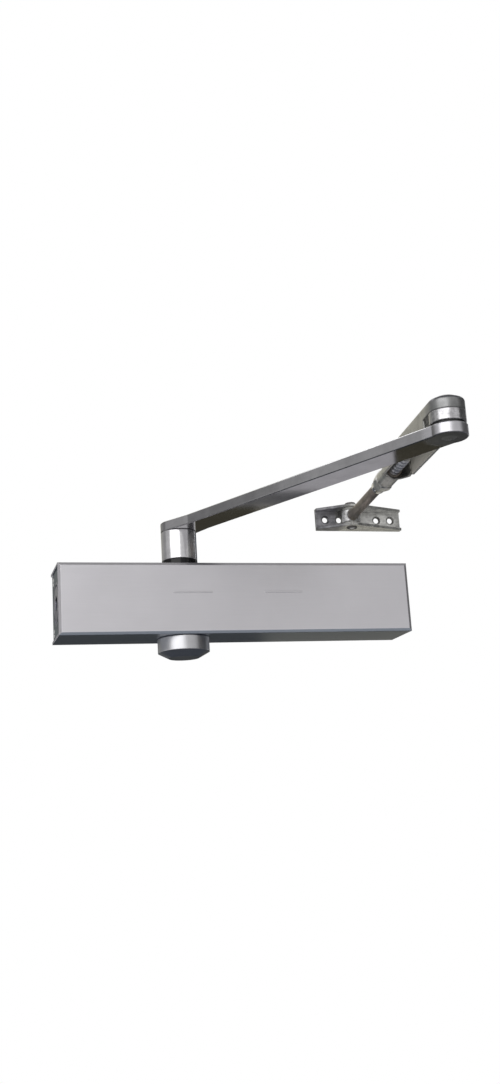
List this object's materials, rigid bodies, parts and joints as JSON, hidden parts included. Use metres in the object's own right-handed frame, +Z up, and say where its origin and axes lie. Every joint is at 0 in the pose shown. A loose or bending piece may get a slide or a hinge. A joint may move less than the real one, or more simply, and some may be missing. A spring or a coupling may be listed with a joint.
{
  "type": "door closer",
  "caption": "Surface-mounted overhead door closer: rack-and-pinion body with a clip-on cover, flat main arm, channel forearm with adjustable rod, and a frame shoe.",
  "frame": {"origin": "on the body's flat mounting face, in line with the spindle axis and at half the body's height", "axes": "+X along the body away from the valve end, +Y into the door (the mounting face looks along it), +Z up the spindle towards the arm"},
  "size_m": [0.3094, 0.2895, 0.1357],
  "materials": {
    "housing_cast": "dark cast and machined",
    "cover_metal": "satin silver",
    "plug_steel": "turned, dark zinc",
    "valve_metal": "bright",
    "bearing_steel": "ground",
    "seal_rubber": "matt",
    "collar_black": "matt",
    "cap_metal": "polished",
    "piston_steel": "ground",
    "spring_steel": "oiled",
    "spindle_steel": "hardened",
    "sleeve_metal": "polished",
    "arm_metal": "silver",
    "screw_steel": "zinc",
    "washer_dark": "matt",
    "bush_metal": "polished",
    "forearm_metal": "nickel",
    "rod_metal": "nickel",
    "shoe_metal": "bright nickel",
    "bush_plastic": "natural"
  },
  "bodies": {
    "body": {"housing": "housing_cast", "cover": "cover_metal", "left_plug": "plug_steel", "right_plug": "plug_steel", "plug_seals": "seal_rubber", "upper_bearing_plug": "plug_steel", "lower_bearing_plug": "plug_steel", "upper_bearing": "bearing_steel", "lower_bearing": "bearing_steel", "upper_seal": "seal_rubber", "lower_seal": "seal_rubber", "upper_collar": "collar_black", "lower_collar": "collar_black", "spindle_cap": "cap_metal", "outer_spring": "spring_steel", "inner_spring": "spring_steel"},
    "closing_valve_screw": {"closing_valve": "valve_metal"},
    "latching_valve_screw": {"latching_valve": "valve_metal"},
    "piston": {"rack_piston": "piston_steel", "piston_seal": "seal_rubber", "check_ball": "bearing_steel"},
    "seat": {"spring_seat": "piston_steel"},
    "power_adjuster": {"power_screw": "screw_steel"},
    "arm": {"spindle_pinion": "spindle_steel", "arm_sleeve": "sleeve_metal", "main_arm": "arm_metal", "arm_screw": "screw_steel", "elbow_pin": "screw_steel", "elbow_washer": "washer_dark"},
    "forearm_link": {"elbow_bush": "bush_metal", "forearm": "forearm_metal", "rod_socket": "rod_metal"},
    "nut": {"clamp_nut": "forearm_metal"},
    "rod": {"adjusting_rod": "rod_metal"},
    "frame_shoe": {"shoe": "shoe_metal", "shoe_pin": "screw_steel", "shoe_bushes": "bush_plastic"}
  },
  "joints": [
    {"name": "arm_swing", "type": "hinge", "parent": "body", "child": "arm", "pos_m": [0, -0.023, 0], "axis": [0, 0, -1], "range_deg": [0, 115], "stiffness_Nm_per_rad": 2, "springref_deg": -28.65},
    {"name": "piston_slide", "type": "slide", "parent": "body", "child": "piston", "axis": [1, 0, 0], "range_m": [0, 0.0196], "deforming": ["outer_spring", "inner_spring"]},
    {"name": "elbow_swing", "type": "hinge", "parent": "arm", "child": "forearm_link", "pos_m": [0.13027, -0.27648, 0.086], "axis": [0, 0, -1], "range_deg": [-27, 140]},
    {"name": "rod_slide", "type": "slide", "parent": "forearm_link", "child": "rod", "axis": [0.1011, 0.9949, 0], "range_m": [-0.045, 0.04]},
    {"name": "nut_turn", "type": "hinge", "parent": "forearm_link", "child": "nut", "pos_m": [0.14669, -0.11482, 0.0778], "axis": [0.1011, 0.9949, 0], "range_deg": [-30, 720]},
    {"name": "shoe_swing", "type": "hinge", "parent": "rod", "child": "frame_shoe", "pos_m": [0.15689, -0.01443, 0.0778], "axis": [0, 0, 1], "range_deg": [-75, 80]},
    {"name": "closing_valve_turn", "type": "hinge", "parent": "body", "child": "closing_valve_screw", "pos_m": [-0.102, -0.007, 0.021], "axis": [-1, 0, 0], "range_deg": [-180, 540]},
    {"name": "latching_valve_turn", "type": "hinge", "parent": "body", "child": "latching_valve_screw", "pos_m": [-0.102, -0.007, -0.021], "axis": [-1, 0, 0], "range_deg": [-180, 540]},
    {"name": "power_screw_turn", "type": "hinge", "parent": "body", "child": "power_adjuster", "pos_m": [0.19, -0.023, 0], "axis": [1, 0, 0], "range_deg": [0, 1800]},
    {"name": "seat_slide", "type": "slide", "parent": "body", "child": "seat", "axis": [-1, 0, 0], "range_m": [0, 0.0076], "deforming": ["outer_spring", "inner_spring"]}
  ],
  "couplings": [
    {"joint": "piston_slide", "follows": "arm_swing", "m_per_rad": 0.0096},
    {"joint": "seat_slide", "follows": "power_screw_turn", "m_per_rad": 0.00023873}
  ]
}
